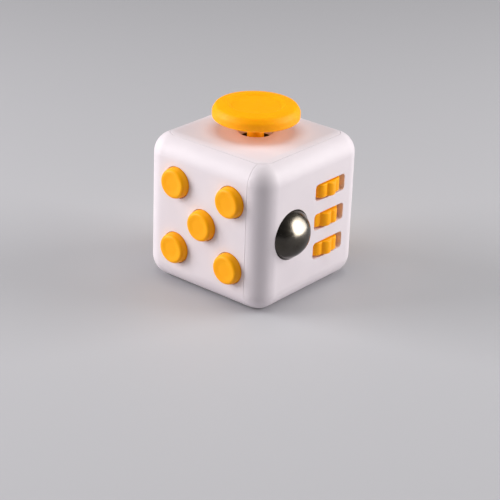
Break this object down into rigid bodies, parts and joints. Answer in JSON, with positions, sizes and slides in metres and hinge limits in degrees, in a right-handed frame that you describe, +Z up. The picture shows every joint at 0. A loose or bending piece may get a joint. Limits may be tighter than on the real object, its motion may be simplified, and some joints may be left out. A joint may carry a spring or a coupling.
{
  "type": "fidget cube",
  "caption": "Hand-held fidget cube with push buttons, rolling ball, gear wheels, joystick, spin dial, flip rocker and thumb dish on its faces.",
  "frame": {"origin": "centre of the base, at the level that the cube stands on", "axes": "+Z up through the joystick, -Y out of the push-button face, +X out of the face with the ball and gear wheels, +Y out of the dial face, -X out of the rocker face"},
  "size_m": [0.0394, 0.0368, 0.0393],
  "materials": {
    "shell_plastic": "satin gloss, off-white with a faint pink tint",
    "button_plastic": "satin gloss, yellow-orange",
    "wheel_plastic": "satin gloss, yellow-orange",
    "cap_plastic": "satin, yellow-orange",
    "dial_plastic": "satin gloss, yellow-orange",
    "rocker_plastic": "satin gloss, yellow-orange",
    "silicone": "matt translucent silicone",
    "ball_steel": "polished bearing steel",
    "inner_plastic": "black acetal, satin",
    "bracket_steel": "zinc-plated sheet",
    "spring_steel": "bright spring steel",
    "pin_steel": "turned steel"
  },
  "bodies": {
    "housing": {"ball_sleeve": "inner_plastic", "ball_sleeve_screws": "pin_steel", "ball_spring": "spring_steel", "button_dome_1": "silicone", "button_dome_2": "silicone", "button_dome_3": "silicone", "button_dome_4": "silicone", "button_dome_5": "silicone", "centring_disc": "inner_plastic", "centring_spring": "spring_steel", "click_backplate": "bracket_steel", "click_panel": "shell_plastic", "click_plate_screws": "pin_steel", "dial_click_spring": "spring_steel", "gear_axle": "pin_steel", "gear_bracket": "bracket_steel", "gear_bracket_screws": "pin_steel", "gear_click_spring_1": "spring_steel", "gear_click_spring_2": "spring_steel", "gear_click_spring_3": "spring_steel", "gear_spacers": "inner_plastic", "holder_screws": "pin_steel", "housing": "shell_plastic", "joystick_holder": "inner_plastic", "rear_panel": "shell_plastic", "rocker_bracket": "bracket_steel", "rocker_leaf_spring": "spring_steel", "rocker_pin": "pin_steel", "rocker_screws": "pin_steel", "snap_discs": "spring_steel", "spring_retainer": "inner_plastic", "top_panel": "shell_plastic"},
    "ball_carrier": {"ball_cup": "inner_plastic"},
    "ball": {"roll_ball": "ball_steel"},
    "joystick_gimbal": {"gimbal_ring": "inner_plastic", "gimbal_pins": "pin_steel"},
    "joystick": {"joystick_cap": "cap_plastic", "joystick_stem": "cap_plastic", "stem_pin": "pin_steel"},
    "dial": {"spin_dial": "dial_plastic", "dial_click_wheel": "inner_plastic", "dial_washer": "pin_steel", "dial_screw": "pin_steel"},
    "rocker": {"flip_rocker": "rocker_plastic"},
    "click_button_1": {"click_button_1": "button_plastic"},
    "click_button_2": {"click_button_2": "button_plastic"},
    "click_button_3": {"click_button_3": "button_plastic"},
    "click_button_4": {"click_button_4": "button_plastic"},
    "click_button_5": {"click_button_5": "button_plastic"},
    "gear_wheel_1": {"gear_wheel_1": "wheel_plastic"},
    "gear_wheel_2": {"gear_wheel_2": "wheel_plastic"},
    "gear_wheel_3": {"gear_wheel_3": "wheel_plastic"}
  },
  "joints": [
    {"name": "click_button_1_press", "type": "slide", "parent": "housing", "child": "click_button_1", "axis": [0, 1, 0], "range_m": [0, 0.001], "stiffness_N_per_m": 700, "springref_m": -0.0005, "deforming": ["button_dome_1"]},
    {"name": "click_button_2_press", "type": "slide", "parent": "housing", "child": "click_button_2", "axis": [0, 1, 0], "range_m": [0, 0.001], "stiffness_N_per_m": 450, "springref_m": -0.0005, "deforming": ["button_dome_2"]},
    {"name": "click_button_3_press", "type": "slide", "parent": "housing", "child": "click_button_3", "axis": [0, 1, 0], "range_m": [0, 0.001], "stiffness_N_per_m": 700, "springref_m": -0.0005, "deforming": ["button_dome_3"]},
    {"name": "click_button_4_press", "type": "slide", "parent": "housing", "child": "click_button_4", "axis": [0, 1, 0], "range_m": [0, 0.001], "stiffness_N_per_m": 450, "springref_m": -0.0005, "deforming": ["button_dome_4"]},
    {"name": "click_button_5_press", "type": "slide", "parent": "housing", "child": "click_button_5", "axis": [0, 1, 0], "range_m": [0, 0.001], "stiffness_N_per_m": 700, "springref_m": -0.0005, "deforming": ["button_dome_5"]},
    {"name": "ball_click", "type": "slide", "parent": "housing", "child": "ball_carrier", "axis": [-1, 0, 0], "range_m": [0, 0.0008], "stiffness_N_per_m": 900, "springref_m": -0.0005, "deforming": ["ball_spring"]},
    {"name": "ball_roll", "type": "hinge", "parent": "ball_carrier", "child": "ball", "pos_m": [0.0142, -0.0071, 0.0164], "axis": [0, 0, 1], "continuous": true},
    {"name": "gear_spin_1", "type": "hinge", "parent": "housing", "child": "gear_wheel_1", "pos_m": [0.0123, 0.0053, 0.0233], "axis": [0, 0, 1], "continuous": true, "deforming": ["gear_click_spring_1"]},
    {"name": "gear_spin_2", "type": "hinge", "parent": "housing", "child": "gear_wheel_2", "pos_m": [0.0123, 0.0053, 0.0166], "axis": [0, 0, 1], "continuous": true, "deforming": ["gear_click_spring_2"]},
    {"name": "gear_spin_3", "type": "hinge", "parent": "housing", "child": "gear_wheel_3", "pos_m": [0.0123, 0.0053, 0.0099], "axis": [0, 0, 1], "continuous": true, "deforming": ["gear_click_spring_3"]},
    {"name": "joystick_tilt_x", "type": "hinge", "parent": "housing", "child": "joystick_gimbal", "pos_m": [0, 0, 0.0286], "axis": [1, 0, 0], "range_deg": [-11.5, 11.5], "stiffness_Nm_per_rad": 0.02, "deforming": ["centring_spring", "centring_disc"]},
    {"name": "joystick_tilt_y", "type": "hinge", "parent": "joystick_gimbal", "child": "joystick", "pos_m": [0, 0, 0.0286], "axis": [0, 1, 0], "range_deg": [-11.5, 11.5], "stiffness_Nm_per_rad": 0.02, "deforming": ["centring_spring", "centring_disc"]},
    {"name": "dial_spin", "type": "hinge", "parent": "housing", "child": "dial", "pos_m": [0, 0.0165, 0.0165], "axis": [0, 1, 0], "continuous": true, "deforming": ["dial_click_spring"]},
    {"name": "rocker_flip", "type": "hinge", "parent": "housing", "child": "rocker", "pos_m": [-0.0137, 0, 0.0165], "axis": [0, -1, 0], "range_deg": [0, 22], "deforming": ["rocker_leaf_spring"]}
  ]
}
